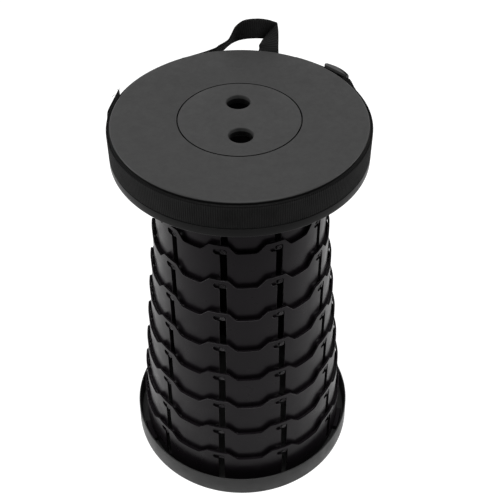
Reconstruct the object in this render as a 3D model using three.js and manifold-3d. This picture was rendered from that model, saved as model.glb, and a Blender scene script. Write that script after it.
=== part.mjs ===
// Collapsible telescopic stool: a round seat on nested rings that telescope out of a shallow base tray.
// Millimetres and degrees, +Z up, origin on the floor at the centre of the base.
// Angles run from the front (-Y) towards the right (+X).
import * as THREE from 'three';
import { mergeVertices } from 'three/addons/utils/BufferGeometryUtils.js';
import Module from 'manifold-3d';

const wasm = await Module();
wasm.setup();

// Fits
const seatingGap = 0.3;          // between pieces that rest on or hold each other
const shoeClearance = 0.4;       // between a guide shoe and the wall that it slides in
const pinClearance = 0.3;        // between a guide pin and the sides of its slot
const cutOverrun = 1;            // how far a cutting body runs past what it cuts

// Base tray and the mat that it stands on
const matInset = 5.05;           // from the base screws' heads in to the mat's edge
const matHeight = 1.9;
const trayFloorThickness = 2.4;
const trayWallThickness = 1.7;
const trayWallHeight = 27;
const trayWallFlare = 0.7;       // how much wider the foot of the tray wall is than its rim
const trayFootLift = 0.8;        // the wall's lower edge above the floor
const trayRimRounding = 0.7;
const rimGap = 8.7;              // from the base ring out to the tray wall
const roundSegments = 40;
const traySegments = 32;

// Rings
const ringCount = 8;             // rings that slide, from column_ring_1 outside to column_ring_8 inside
const ringWall = 1.8;
const ringGap = 2.65;            // free space between one ring's wall and the next
const ringTravel = 42.8;
const restClearance = 3.1;       // below the rings when the stool is folded
const periods = 10;              // tabs, slots and pins round each ring
const patternStart = -20.2;      // where the first tab begins
const slotToSlopeAngle = 0.44;   // from the smallest ring's slot to the end of its tab
const tabSlopeAngle = 5;
const valleyAngle = 13.4;
const valleyDepth = 9.5;
const latchAngle = 4.9;          // from the tab's start to the closed end of the hook
const latchReach = 6.5;          // along the wall from the hook's closed end to the middle of the slot
const pinRadius = 3.4;
const pinSides = 6;
const pinDrop = 8;               // from the top of a tab down to the pin that it holds
const pinRise = 5.2;             // from the lower edge of a ring up to its own pins
const shoeHeight = 9.6;
const pinTipGap = 0.35;          // between a pin's tip and the back of the shoe that it passes
const lugReach = 6.6;            // how far the base ring's feet stand out
const lugHeight = 6;

// Seat
const seatDepth = 38.5;
const seatTravel = 35.6;
const foldedSeatClearance = 5.5; // between the folded rings and the seat plate
const seatPlate = 2.8;
const skirtClearance = 2.8;      // between the base ring and the skirt that drops over it
const skirtWall = 2.6;
const edgeInset = 1.2;           // the seat's flat top is this much smaller than the strap seat
const edgeRounding = 2.2;
const lipStep = 2.2;             // how far the lower lip stands out past the strap seat
const lipRounding = 1.5;
const bandDrop = 4;              // from the seat's top down to the webbing
const ribCount = 6;
const ribThickness = 2;
const ribDepth = 3.6;

// Lid and its well
const lidRadius = 60;
const lidPlate = 3;
const lidEdgeGap = 0.4;
const ledgeWidth = 6.4;
const ledgeThickness = 2.2;
const wellWall = 2.2;
const lidLipWall = 2;
const lidLipDepth = 3.4;
const lidSegments = 30;
const fingerHoleRadius = 12;
const fingerHoleShare = 0.4583;  // of the lid's radius, out to the middle of each finger hole
const fingerHoleCount = 2;
const fingerHoleLine = 2.3;      // the line through both holes is turned by this much
const fingerHoleSides = 16;

// Seat sleeve
const flangeClearance = 3.35;    // between the well's wall and the flange
const flangeWidth = 13;
const flangeThickness = 2.4;
const sleeveSegments = 32;

// Screws
const screwCount = 5;
const screwShankRadius = 1.5;
const screwHeadRadius = 3.2;
const screwHeadHeight = 1.6;
const seatScrewBite = 1.8;       // how far the seat screws reach into the seat plate
const baseScrewBite = 4;         // how far the base screws reach into the base ring's feet
const screwSides = 6;

// Webbing
const webbingWidth = 24.5;
const webbingThickness = 1.8;
const bandStartShare = -0.26;    // of a full turn, where the webbing's hidden end lies
const lapShare = 0.075;          // of a full turn, how far the free end laps over the start
const tailLift = 1.4;            // how far the free end springs off the band

// Three-bar slider
const sliderLength = 30;
const sliderPlay = 0.35;         // between the webbing's edges and the slider's rails
const sliderThickness = 2.6;
const sliderEndBar = 3.5;
const sliderMiddleBar = 4.6;
const sliderRail = 3.2;
const sliderCorner = 2.6;
const sliderCornerSteps = 3;
const sliderStand = 1.8;         // from the band's face out to the slider's bars
const sliderFacet = 14;          // the slider lies on this facet of the band, counted from the front
const loopFacet = 18;            // the loop's straight leg lies on this one

// Sizes that follow
const degree = Math.PI / 180;
const periodAngle = 360 / periods;
const facetAngle = 360 / roundSegments;
const ringPitch = ringWall + ringGap;
const sleeveRadius = lidRadius + lidEdgeGap + wellWall + flangeClearance + flangeWidth + ringWall;
const baseRingRadius = sleeveRadius + (ringCount + 1) * ringPitch;
const slotHalfWidth = pinRadius + pinClearance;
const tabAngle = latchAngle + (latchReach + slotHalfWidth) / ringRadius(ringCount) / degree
  + slotToSlopeAngle;
const shoeReach = ringGap - shoeClearance;
const ringHeight = ringTravel + pinDrop + pinRise;
const trayFloorBottom = matHeight + seatingGap;
const trayFloorTop = trayFloorBottom + trayFloorThickness;
const trayWallTop = trayFootLift + trayWallHeight;
const trayInnerRadius = baseRingRadius + rimGap;
const trayRimRadius = trayInnerRadius + trayWallThickness;
const trayFootRadius = trayRimRadius + trayWallFlare;
const foldedRingTop = trayFloorTop + restClearance + ringHeight;
const baseRingBottom = trayFloorTop + seatingGap;
const seatTop = foldedRingTop + foldedSeatClearance + seatPlate + ringCount * ringTravel + seatTravel;
const seatPlateBottom = seatTop - seatPlate;
const skirtInnerRadius = baseRingRadius + skirtClearance;
const strapSeatRadius = skirtInnerRadius + skirtWall;
const seatEdgeRadius = strapSeatRadius - edgeInset;
const lipRadius = strapSeatRadius + lipStep;
const wellRadius = lidRadius + lidEdgeGap;
const ledgeInnerRadius = wellRadius - ledgeWidth;
const ledgeTop = seatTop - lidPlate - seatingGap;
const ledgeBottom = ledgeTop - ledgeThickness;
const sleeveBottom = ringTop(ringCount) - pinDrop - pinRise;
const sleeveTop = seatPlateBottom - seatingGap;
const sleeveBore = (ringRadius(ringCount) - ringWall) * Math.cos(valleyAngle / 2 * degree);
const sleeveShoeRadius = sleeveBore - shoeClearance;
const flangeInnerRadius = sleeveRadius - ringWall - flangeWidth;
const screwCircleRadius = sleeveRadius - ringWall - flangeWidth / 2;
const lugScrewRadius = (baseRingRadius + lugReach / 2) * Math.cos(valleyAngle / 2 * degree);
const matRadius = lugScrewRadius - screwHeadRadius - matInset;
const lugScrewAngle = patternStart + tabAngle + tabSlopeAngle + valleyAngle / 2;
const bandInnerRadius = strapSeatRadius + seatingGap;
const bandOuterRadius = bandInnerRadius + webbingThickness;
const bandMiddle = seatTop - bandDrop - webbingWidth / 2;
const secondLayerRadius = bandOuterRadius + seatingGap + webbingThickness / 2;
const sliderHeight = webbingWidth + 2 * (sliderPlay + sliderRail);
const sliderAngle = (sliderFacet + 1 / 2) * facetAngle;
const sliderDistance = bandOuterRadius + sliderStand;
const loopLegAngle = (loopFacet + 1 / 2) * facetAngle;

// Finishes
const seatPlastic = material('#4a4a4c', 0.62);
const lidPlastic = material('#4c4c4e', 0.62);
const ringPlastic = material('#2b292c', 0.34);
const trayPlastic = material('#39393b', 0.5);
const rubber = material('#1c1c1d', 0.85);
const webbing = material('#1b1b1c', 0.9);
const sliderPlastic = material('#444446', 0.5);
const steel = material('#8d9094', 0.35, 0.9);

function material(color, roughness, metalness = 0) {
  return new THREE.MeshStandardMaterial({ color, roughness, metalness });
}

// Outer radius of a ring's wall; number 0 is the base ring.
function ringRadius(number) {
  return baseRingRadius - number * ringPitch;
}

// Height of a ring's tabs with the stool raised.
function ringTop(number) {
  return foldedRingTop + number * ringTravel;
}

// A point at this angle, radius and height.
function around(angle, radius, height) {
  return new THREE.Vector3(radius * Math.sin(angle * degree), -radius * Math.cos(angle * degree), height);
}

function toSolid(geometry) {
  const plain = geometry.clone();
  plain.deleteAttribute('normal');
  plain.deleteAttribute('uv');
  const merged = mergeVertices(plain);
  const vertProperties = new Float32Array(merged.attributes.position.array);
  const triVerts = new Uint32Array(merged.index.array);
  return new wasm.Manifold(new wasm.Mesh({ numProp: 3, vertProperties, triVerts }));
}

function toGeometry(solid) {
  const mesh = solid.getMesh();
  const geometry = new THREE.BufferGeometry();
  geometry.setAttribute('position', new THREE.BufferAttribute(mesh.vertProperties, 3));
  geometry.setIndex(new THREE.BufferAttribute(mesh.triVerts, 1));
  return geometry;
}

// Turns a closed outline of [radius, height] about the axis.
function revolve(outline, segments) {
  const points = outline.map(([radius, height]) => new THREE.Vector2(radius, height));
  if (points[0].x !== 0) points.push(points[0].clone());
  return new THREE.LatheGeometry(points, segments).rotateX(Math.PI / 2);
}

// Pushes a shape, drawn across and up, outwards from this distance, and turns it to this angle.
function pushOut(shape, distance, depth, angle) {
  const geometry = new THREE.ExtrudeGeometry(shape, { depth, bevelEnabled: false });
  return geometry.rotateX(Math.PI / 2).translate(0, -distance, 0).rotateZ(angle * degree);
}

// A round bar or bore along the vertical.
function upright(radius, bottom, top, sides) {
  const bar = new THREE.CylinderGeometry(radius, radius, top - bottom, sides);
  return bar.rotateX(Math.PI / 2).translate(0, 0, (top + bottom) / 2);
}

// Moves a copy of a geometry to each place round a circle.
function placeRound(geometry, radius, count, firstAngle) {
  const copies = [];
  for (let index = 0; index < count; index += 1) {
    const place = around(firstAngle + index * 360 / count, radius, 0);
    copies.push(geometry.clone().translate(place.x, place.y, place.z));
  }
  return copies;
}

function cut(body, tools) {
  return tools.reduce((result, tool) => result.subtract(toSolid(tool)), body);
}

function join(body, pieces) {
  return pieces.reduce((result, piece) => result.add(toSolid(piece)), body);
}

// Bends flat cells round the axis and repeats them. A cell has an outline of [angle, height] and two radii.
// Where two cells share an edge the wall between them is left out, apart from any step in radius.
function wrapCells(cells, copies) {
  const turn = 360 / copies;
  const fine = 1e4;
  const pointKey = ([angle, height]) => {
    const wrapped = Math.round(angle * fine) % Math.round(turn * fine);
    return `${wrapped}/${Math.round(height * fine)}`;
  };
  const owners = new Map();
  for (const cell of cells) {
    cell.outline.forEach((point, index) => {
      const next = cell.outline[(index + 1) % cell.outline.length];
      owners.set(`${pointKey(point)}>${pointKey(next)}`, cell);
    });
  }
  const positions = [];
  const put = (corners, start) => {
    for (const [[angle, height], radius] of corners) {
      positions.push(...around(angle + start, radius, height).toArray());
    }
  };
  const radii = [...new Set(cells.flatMap((cell) => [cell.inner, cell.outer]))].sort((a, b) => a - b);
  const putWall = (from, to, lowest, highest, start) => {
    for (let index = radii.indexOf(lowest); radii[index] < highest; index += 1) {
      const low = radii[index];
      const high = radii[index + 1];
      put([[from, high], [from, low], [to, low]], start);
      put([[from, high], [to, low], [to, high]], start);
    }
  };
  for (let copy = 0; copy < copies; copy += 1) {
    const start = patternStart + copy * turn;
    for (const cell of cells) {
      const contour = cell.outline.map(([angle, height]) => new THREE.Vector2(angle, height));
      for (const face of THREE.ShapeUtils.triangulateShape(contour, [])) {
        const corners = face.map((index) => cell.outline[index]);
        put(corners.map((corner) => [corner, cell.outer]), start);
        put(corners.reverse().map((corner) => [corner, cell.inner]), start);
      }
      cell.outline.forEach((point, index) => {
        const next = cell.outline[(index + 1) % cell.outline.length];
        const twin = owners.get(`${pointKey(next)}>${pointKey(point)}`);
        if (!twin) putWall(point, next, cell.inner, cell.outer, start);
        if (twin && twin.inner > cell.inner) putWall(point, next, cell.inner, twin.inner, start);
        if (twin && twin.outer < cell.outer) putWall(point, next, twin.outer, cell.outer, start);
      });
    }
  }
  const geometry = new THREE.BufferGeometry();
  geometry.setAttribute('position', new THREE.Float32BufferAttribute(positions, 3));
  return geometry;
}

// Angles at which a ring's outline changes, from the start of a tab.
function ringStations(radius) {
  const angleOf = (length) => length / radius / degree;
  const slotMiddle = latchAngle + angleOf(latchReach);
  return {
    slotMiddle,
    hookEnd: latchAngle - angleOf(slotHalfWidth),
    slotLeft: slotMiddle - angleOf(slotHalfWidth),
    slotRight: slotMiddle + angleOf(slotHalfWidth),
    tabEnd: tabAngle,
    valleyStart: tabAngle + tabSlopeAngle,
    valleyEnd: tabAngle + tabSlopeAngle + valleyAngle,
    end: periodAngle,
  };
}

// The wall of a ring above its foot: tab, hooked slot, slope and valley.
function ringWallCells(radius, height, foot) {
  const at = ringStations(radius);
  const valley = height - valleyDepth;
  const hookBottom = height - pinDrop - slotHalfWidth;
  const slotTop = height - pinDrop + slotHalfWidth;
  const outlines = [
    [[0, foot], [at.slotLeft, foot], [at.slotLeft, hookBottom], [at.hookEnd, hookBottom],
      [at.hookEnd, slotTop], [at.slotLeft, slotTop], [at.slotLeft, height], [0, height]],
    [[at.slotLeft, slotTop], [at.slotRight, slotTop], [at.slotRight, height], [at.slotLeft, height]],
    [[at.slotRight, foot], [at.valleyStart, foot], [at.valleyStart, valley], [at.tabEnd, height],
      [at.slotRight, height], [at.slotRight, slotTop]],
    [[at.valleyStart, 0], [at.valleyEnd, 0], [at.valleyEnd, valley], [at.valleyStart, valley],
      [at.valleyStart, foot]],
    [[at.valleyEnd, 0], [at.end, 0], [at.end, foot], [at.end, height], [at.valleyEnd, valley]],
  ];
  return outlines.map((outline) => ({ outline, inner: radius - ringWall, outer: radius }));
}

// The shoe at the foot of a sliding ring. It bridges the slot, which goes through the wall behind it.
function shoeCells(radius) {
  const at = ringStations(radius);
  const block = (from, to, inner) => ({
    outline: [[from, 0], [to, 0], [to, shoeHeight], [from, shoeHeight]],
    inner,
    outer: radius + shoeReach,
  });
  return [
    block(0, at.slotLeft, radius - ringWall),
    block(at.slotLeft, at.slotRight, radius),
    block(at.slotRight, at.valleyStart, radius - ringWall),
  ];
}

// Guide pins from this root outwards. They stand in the slots of the next ring out, just short of its face.
function guidePins(radius, root) {
  const outerRadius = radius + ringPitch;
  const tip = outerRadius - pinTipGap;
  const pin = new THREE.CylinderGeometry(pinRadius, pinRadius, tip - root, pinSides);
  pin.rotateY(Math.PI / pinSides).translate(0, -(tip + root) / 2, pinRise);
  const pins = [];
  for (let index = 0; index < periods; index += 1) {
    const angle = patternStart + ringStations(outerRadius).slotMiddle + index * periodAngle;
    pins.push(pin.clone().rotateZ(angle * degree));
  }
  return pins;
}

function makeSlidingRing(number) {
  const radius = ringRadius(number);
  const cells = [...ringWallCells(radius, ringHeight, shoeHeight), ...shoeCells(radius)];
  const body = join(toSolid(wrapCells(cells, periods)), guidePins(radius, radius + shoeReach / 2));
  return toGeometry(body).translate(0, 0, ringTop(number) - ringHeight);
}

// The base ring has closed slots and stands on feet that take the screws.
function makeBaseRing() {
  const height = foldedRingTop - baseRingBottom;
  const at = ringStations(baseRingRadius);
  const slotFoot = height - pinDrop - ringTravel - slotHalfWidth;
  const wall = { inner: baseRingRadius - ringWall, outer: baseRingRadius };
  const cells = ringWallCells(baseRingRadius, height, slotFoot);
  const breaks = [0, at.slotLeft, at.slotRight, at.valleyStart];
  breaks.slice(1).forEach((to, index) => {
    const from = breaks[index];
    cells.push({ outline: [[from, 0], [to, 0], [to, slotFoot], [from, slotFoot]], ...wall });
  });
  const ring = toSolid(wrapCells(cells, periods));
  const lug = {
    outline: [[at.valleyStart, 0], [at.valleyEnd, 0], [at.valleyEnd, lugHeight],
      [at.valleyStart, lugHeight]],
    inner: baseRingRadius - ringWall / 2,
    outer: baseRingRadius + lugReach,
  };
  const bore = upright(screwShankRadius + seatingGap, -cutOverrun, baseScrewBite + seatingGap, screwSides);
  const feet = join(ring, [wrapCells([lug], screwCount)]);
  const bores = placeRound(bore, lugScrewRadius, screwCount, lugScrewAngle);
  return toGeometry(cut(feet, bores)).translate(0, 0, baseRingBottom);
}

function makeTray() {
  const tray = revolve([
    [0, trayFloorBottom],
    [trayFootRadius - trayWallThickness, trayFloorBottom],
    [trayFootRadius - trayWallThickness, trayFootLift],
    [trayFootRadius, trayFootLift],
    [trayRimRadius, trayWallTop - trayRimRounding],
    [trayRimRadius - trayRimRounding, trayWallTop],
    [trayInnerRadius, trayWallTop],
    [trayInnerRadius, trayFloorTop],
    [0, trayFloorTop],
  ], traySegments);
  const bore = upright(screwShankRadius + seatingGap, trayFloorBottom - cutOverrun,
    trayFloorTop + cutOverrun, screwSides);
  return toGeometry(cut(toSolid(tray), placeRound(bore, lugScrewRadius, screwCount, lugScrewAngle)));
}

function makeMat() {
  return toGeometry(toSolid(upright(matRadius, 0, matHeight, traySegments)));
}

// Screws driven upwards: a round head under the flange and a plain shank.
function makeScrews(underside, tip, circleRadius, firstAngle) {
  const shoulder = underside - seatingGap;
  const screw = revolve([
    [0, shoulder - screwHeadHeight],
    [screwHeadRadius, shoulder - screwHeadHeight],
    [screwHeadRadius, shoulder],
    [screwShankRadius, shoulder],
    [screwShankRadius, tip],
    [0, tip],
  ], screwSides);
  return placeRound(screw, circleRadius, screwCount, firstAngle).map((piece) => toGeometry(toSolid(piece)));
}

// The sleeve under the seat: a flange for the screws, a plain wall and a shoe with the uppermost pins.
function makeSleeve() {
  const inner = sleeveRadius - ringWall;
  const shoeTop = sleeveBottom + shoeHeight;
  const tube = revolve([
    [inner, sleeveBottom],
    [sleeveShoeRadius, sleeveBottom],
    [sleeveShoeRadius, shoeTop],
    [sleeveRadius, shoeTop],
    [sleeveRadius, sleeveTop],
    [flangeInnerRadius, sleeveTop],
    [flangeInnerRadius, sleeveTop - flangeThickness],
    [inner, sleeveTop - flangeThickness],
  ], sleeveSegments);
  const pins = guidePins(sleeveRadius, sleeveRadius - ringWall / 2)
    .map((pin) => pin.translate(0, 0, sleeveBottom));
  const bore = upright(screwShankRadius + seatingGap, sleeveTop - flangeThickness - cutOverrun,
    sleeveTop + cutOverrun, screwSides);
  return toGeometry(cut(join(toSolid(tube), pins), placeRound(bore, screwCircleRadius, screwCount, 0)));
}

function makeSeatShell() {
  const skirtBottom = seatTop - seatDepth;
  const lipTop = bandMiddle - webbingWidth / 2 - seatingGap;
  const shell = toSolid(revolve([
    [wellRadius, seatTop],
    [wellRadius, ledgeTop],
    [ledgeInnerRadius, ledgeTop],
    [ledgeInnerRadius, ledgeBottom],
    [wellRadius + wellWall, ledgeBottom],
    [wellRadius + wellWall, seatPlateBottom],
    [skirtInnerRadius, seatPlateBottom],
    [skirtInnerRadius, skirtBottom],
    [lipRadius - lipRounding, skirtBottom],
    [lipRadius, skirtBottom + lipRounding],
    [lipRadius, lipTop],
    [strapSeatRadius, lipTop],
    [strapSeatRadius, seatTop - bandDrop + seatingGap],
    [seatEdgeRadius, seatTop - edgeRounding],
    [seatEdgeRadius - edgeRounding, seatTop],
  ], roundSegments));
  const ribStart = sleeveRadius + ringWall;
  const ribShape = new THREE.Shape([
    new THREE.Vector2(-ribThickness / 2, seatPlateBottom - ribDepth),
    new THREE.Vector2(ribThickness / 2, seatPlateBottom - ribDepth),
    new THREE.Vector2(ribThickness / 2, seatPlateBottom + seatPlate / 2),
    new THREE.Vector2(-ribThickness / 2, seatPlateBottom + seatPlate / 2),
  ]);
  const ribLength = skirtInnerRadius + skirtWall / 2 - ribStart;
  const ribs = [];
  for (let index = 0; index < ribCount; index += 1) {
    ribs.push(pushOut(ribShape, ribStart, ribLength, index * 360 / ribCount));
  }
  const bore = upright(screwShankRadius + seatingGap, seatPlateBottom - cutOverrun,
    seatPlateBottom + seatScrewBite + seatingGap, screwSides);
  return toGeometry(cut(join(shell, ribs), placeRound(bore, screwCircleRadius, screwCount, 0)));
}

function makeLid() {
  const bottom = seatTop - lidPlate;
  const lipOuter = ledgeInnerRadius - lidEdgeGap;
  const disc = revolve([
    [0, bottom],
    [lipOuter - lidLipWall, bottom],
    [lipOuter - lidLipWall, bottom - lidLipDepth],
    [lipOuter, bottom - lidLipDepth],
    [lipOuter, bottom],
    [lidRadius, bottom],
    [lidRadius, seatTop],
    [0, seatTop],
  ], lidSegments);
  const hole = upright(fingerHoleRadius, bottom - cutOverrun, seatTop + cutOverrun, fingerHoleSides);
  const holes = placeRound(hole, lidRadius * fingerHoleShare, fingerHoleCount, fingerHoleLine);
  return toGeometry(cut(toSolid(disc), holes));
}

// A flat band through pairs of edge points, of even thickness.
function ribbon(edges) {
  const middles = edges.map(([left, right]) => left.clone().add(right).multiplyScalar(1 / 2));
  const sections = edges.map(([left, right], index) => {
    const ahead = middles[Math.min(index + 1, middles.length - 1)];
    const behind = middles[Math.max(index - 1, 0)];
    const normal = ahead.clone().sub(behind).cross(right.clone().sub(left)).normalize();
    const half = normal.multiplyScalar(webbingThickness / 2);
    return [
      left.clone().add(half),
      left.clone().sub(half),
      right.clone().sub(half),
      right.clone().add(half),
    ];
  });
  const positions = [];
  const putQuad = (a, b, c, d) => {
    for (const point of [a, b, c, a, c, d]) positions.push(...point.toArray());
  };
  for (let index = 1; index < sections.length; index += 1) {
    for (let side = 0; side < 4; side += 1) {
      const next = (side + 1) % 4;
      const behind = sections[index - 1];
      const ahead = sections[index];
      putQuad(behind[side], behind[next], ahead[next], ahead[side]);
    }
  }
  putQuad(...[...sections[0]].reverse());
  putQuad(...sections[sections.length - 1]);
  const geometry = new THREE.BufferGeometry();
  geometry.setAttribute('position', new THREE.Float32BufferAttribute(positions, 3));
  return toGeometry(toSolid(geometry));
}

// Edge points of webbing that stands upright against the seat, at this angle and middle radius.
function uprightEdges(angle, radius) {
  return [
    around(angle, radius, bandMiddle - webbingWidth / 2),
    around(angle, radius, bandMiddle + webbingWidth / 2),
  ];
}

// The webbing round the seat. Its free end steps out over the hidden end and springs off a little.
function makeBand() {
  const firstFacet = Math.round(bandStartShare * roundSegments);
  const lapFacets = Math.max(2, Math.round(lapShare * roundSegments));
  const middleRadius = bandInnerRadius + webbingThickness / 2;
  const edges = [];
  for (let facet = roundSegments; facet > 0; facet -= 1) {
    edges.push(uprightEdges((firstFacet + facet) * facetAngle, middleRadius));
  }
  for (let facet = 0; facet <= lapFacets; facet += 1) {
    const lift = facet === lapFacets ? tailLift : 0;
    edges.push(uprightEdges((firstFacet - facet) * facetAngle, secondLayerRadius + lift));
  }
  return ribbon(edges);
}

// A point given along, out from and up the slider's own plane.
function atSlider(along, distance, height) {
  return around(0, distance, height).add(new THREE.Vector3(along, 0, 0))
    .applyAxisAngle(new THREE.Vector3(0, 0, 1), sliderAngle * degree);
}

// Webbing threaded behind the slider's end bars and over its middle bar.
function makeLead() {
  const slotMiddle = (sliderMiddleBar + sliderLength - 2 * sliderEndBar) / 4;
  const overBar = sliderDistance + sliderThickness + seatingGap + webbingThickness / 2;
  const behindBar = secondLayerRadius * Math.cos(facetAngle / 2 * degree);
  const halfway = (overBar + behindBar) / 2;
  const threaded = [
    [-sliderLength / 2, behindBar],
    [-sliderLength / 2 + sliderEndBar, behindBar],
    [-slotMiddle, halfway],
    [-sliderMiddleBar / 2, overBar],
    [sliderMiddleBar / 2, overBar],
    [slotMiddle, halfway],
    [sliderLength / 2 - sliderEndBar, behindBar],
    [sliderLength / 2, behindBar],
  ];
  const edges = [
    ...[4, 3, 2].map((facets) => uprightEdges((sliderFacet + 1 - facets) * facetAngle, secondLayerRadius)),
    ...threaded.map(([along, distance]) => [
      atSlider(along, distance, bandMiddle - webbingWidth / 2),
      atSlider(along, distance, bandMiddle + webbingWidth / 2),
    ]),
    ...[1, 2].map((facets) => uprightEdges((sliderFacet + 1 + facets) * facetAngle, secondLayerRadius)),
  ];
  return ribbon(edges);
}

function roundedOutline(width, height, corner, steps) {
  const points = [];
  for (const [sideX, sideY, quarter] of [[1, -1, -1], [1, 1, 0], [-1, 1, 1], [-1, -1, 2]]) {
    for (let step = 0; step <= steps; step += 1) {
      const direction = (quarter + step / steps) * Math.PI / 2;
      points.push(new THREE.Vector2(
        sideX * (width / 2 - corner) + corner * Math.cos(direction),
        sideY * (height / 2 - corner) + corner * Math.sin(direction),
      ));
    }
  }
  return points;
}

function makeSlider() {
  const outline = roundedOutline(sliderLength, sliderHeight, sliderCorner, sliderCornerSteps);
  const slotWidth = (sliderLength - 2 * sliderEndBar - sliderMiddleBar) / 2;
  const slotOffset = (sliderMiddleBar + slotWidth) / 2;
  const body = pushOut(new THREE.Shape(outline), sliderDistance, sliderThickness, sliderAngle);
  const slots = [-1, 1].map((side) => new THREE.BoxGeometry(
    slotWidth,
    sliderThickness + 2 * cutOverrun,
    sliderHeight - 2 * sliderRail,
  ).translate(side * slotOffset, -sliderDistance - sliderThickness / 2, 0).rotateZ(sliderAngle * degree));
  return toGeometry(cut(toSolid(body), slots)).translate(0, 0, bandMiddle);
}

// The carrying loop stands up behind the seat. Places are shares of the webbing's width, from the middle
// of the band's back: across, back and up. The lean turns the width from upright (90) to lying back (0).
const loopPlaceShares = [
  [-1.22, 0.13, 0.14, -84],
  [-0.82, 0.24, 0.42, -62],
  [-0.44, 0.28, 0.76, -34],
  [-0.2, 0.28, 1.02, 8],
  [0, 0.26, 1.25, 50],
  [0.32, 0.22, 1.4, 76],
  [0.74, 0.2, 1.45, 90],
];
const loopCornerShares = [[1.1, 0.19, 0.95], [1.66, 0.19, 1.86]];
const loopShoulderShares = [[0.94, 0.12, 0.7], [1.74, 0.1, 1.5]];
const loopStartFacets = [-17, -18];

function makeLoop() {
  const place = ([across, back, up]) => new THREE.Vector3(
    across * webbingWidth,
    bandOuterRadius + back * webbingWidth,
    bandMiddle + up * webbingWidth,
  );
  const lying = loopPlaceShares.map(([across, back, up, lean]) => {
    const half = new THREE.Vector3(0, Math.cos(lean * degree), Math.sin(lean * degree));
    half.multiplyScalar(webbingWidth / 2);
    const middle = place([across, back, up]);
    return [middle.clone().sub(half), middle.clone().add(half)];
  });
  const legEdges = (height) => [1, -1].map((side) => around(0, secondLayerRadius, height)
    .add(new THREE.Vector3(side * webbingWidth / 2, 0, 0))
    .applyAxisAngle(new THREE.Vector3(0, 0, 1), loopLegAngle * degree));
  const edges = [
    ...loopStartFacets.map((facet) => uprightEdges(facet * facetAngle, secondLayerRadius).reverse()),
    ...lying,
    ...[loopCornerShares, loopShoulderShares].map((ends) => ends.map(place)),
    legEdges(bandMiddle + webbingWidth / 2),
    legEdges(bandMiddle - webbingWidth / 2),
  ];
  return ribbon(edges.map(([left, right]) => [right, left]));
}

const stool = new THREE.Group();

function addPiece(name, geometry, finish) {
  const mesh = new THREE.Mesh(geometry, finish);
  mesh.name = name;
  stool.add(mesh);
}

addPiece('base_tray', makeTray(), trayPlastic);
addPiece('foot_mat', makeMat(), rubber);
addPiece('base_ring', makeBaseRing(), ringPlastic);
makeScrews(trayFloorBottom, baseRingBottom + baseScrewBite, lugScrewRadius, lugScrewAngle)
  .forEach((screw, index) => addPiece(`base_screw_${index + 1}`, screw, steel));
for (let number = 1; number <= ringCount; number += 1) {
  addPiece(`column_ring_${number}`, makeSlidingRing(number), ringPlastic);
}
addPiece('seat_sleeve', makeSleeve(), ringPlastic);
makeScrews(sleeveTop - flangeThickness, seatPlateBottom + seatScrewBite, screwCircleRadius, 0)
  .forEach((screw, index) => addPiece(`seat_screw_${index + 1}`, screw, steel));
addPiece('seat_shell', makeSeatShell(), seatPlastic);
addPiece('seat_lid', makeLid(), lidPlastic);
addPiece('strap_band', makeBand(), webbing);
addPiece('strap_lead', makeLead(), webbing);
addPiece('strap_slider', makeSlider(), sliderPlastic);
addPiece('strap_loop', makeLoop(), webbing);

export default stool;
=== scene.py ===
"""Looks of a collapsible telescopic stool: a round seat on nested slotted rings over a shallow tray."""
import math
import random

import bmesh
import bpy
from mathutils import Matrix, Vector


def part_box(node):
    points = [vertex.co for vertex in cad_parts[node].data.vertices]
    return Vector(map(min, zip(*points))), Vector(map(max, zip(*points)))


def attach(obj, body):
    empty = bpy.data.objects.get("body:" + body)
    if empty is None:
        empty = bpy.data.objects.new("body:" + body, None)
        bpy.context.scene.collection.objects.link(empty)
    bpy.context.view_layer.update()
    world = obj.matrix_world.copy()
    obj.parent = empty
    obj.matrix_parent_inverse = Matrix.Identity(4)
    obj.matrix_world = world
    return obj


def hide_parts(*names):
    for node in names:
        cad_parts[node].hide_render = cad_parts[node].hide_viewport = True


bl_info = {
    "name": "Telescopic stool",
    "version": (1, 0, 0),
    "blender": (4, 5, 0),
    "location": "3D View > Sidebar > Stool",
    "description": "Builds a collapsible telescopic stool piece by piece",
    "category": "Object",
}

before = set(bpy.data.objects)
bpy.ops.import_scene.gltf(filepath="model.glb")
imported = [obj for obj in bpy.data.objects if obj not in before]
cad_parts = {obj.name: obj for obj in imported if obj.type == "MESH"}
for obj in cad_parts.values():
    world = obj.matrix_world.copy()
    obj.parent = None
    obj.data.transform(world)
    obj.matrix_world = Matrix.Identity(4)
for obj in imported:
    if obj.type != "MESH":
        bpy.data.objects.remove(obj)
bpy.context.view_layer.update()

MM = 0.001
TINY = 1e-6

# Sizes below are millimetres and degrees, unless their names say otherwise.
RING_COUNT = 8
RING_TRAVEL = 42.8
PERIODS = 10
PERIOD_ANGLE = 360 / PERIODS
PATTERN_START = -20.2
TAB_ANGLE = 12.2
TAB_SLOPE_ANGLE = 5.0
SLOPE_END_ANGLE = TAB_ANGLE + TAB_SLOPE_ANGLE
TAB_ROUNDING = 3
VALLEY_ANGLE = 13.4
VALLEY_DEPTH = 9.5
VALLEY_ROUNDING = 4
LATCH_ANGLE = 4.9
LATCH_REACH = 6.5
HOOK_CORNER = 1.2
SLOT_CORNER = 1.5
PIN_CLEARANCE = 0.3
PIN_DROP = 8.0
PIN_RISE = 5.2
PIN_TIP_GAP = 0.35
SHOE_HEIGHT = 9.6
SHOE_SILL = 2.8
SHOE_PAD_START = 2.4
SHOE_CLEARANCE = 0.4
SHOE_CHAMFER = 0.8
SHOE_MARGIN = 0.2
FOOT_BEAD = 1.6
STRIP_WIDTH = 2.6
SEATING_GAP = 0.3
SCREW_COUNT = 5
SEAT_PLATE = 2.8
LID_PLATE = 3.0
LID_INSET = 0.5
WELL_INSET = 0.7
STRAP_INNER = 126.5
BAND_RISE = 1.0


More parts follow.
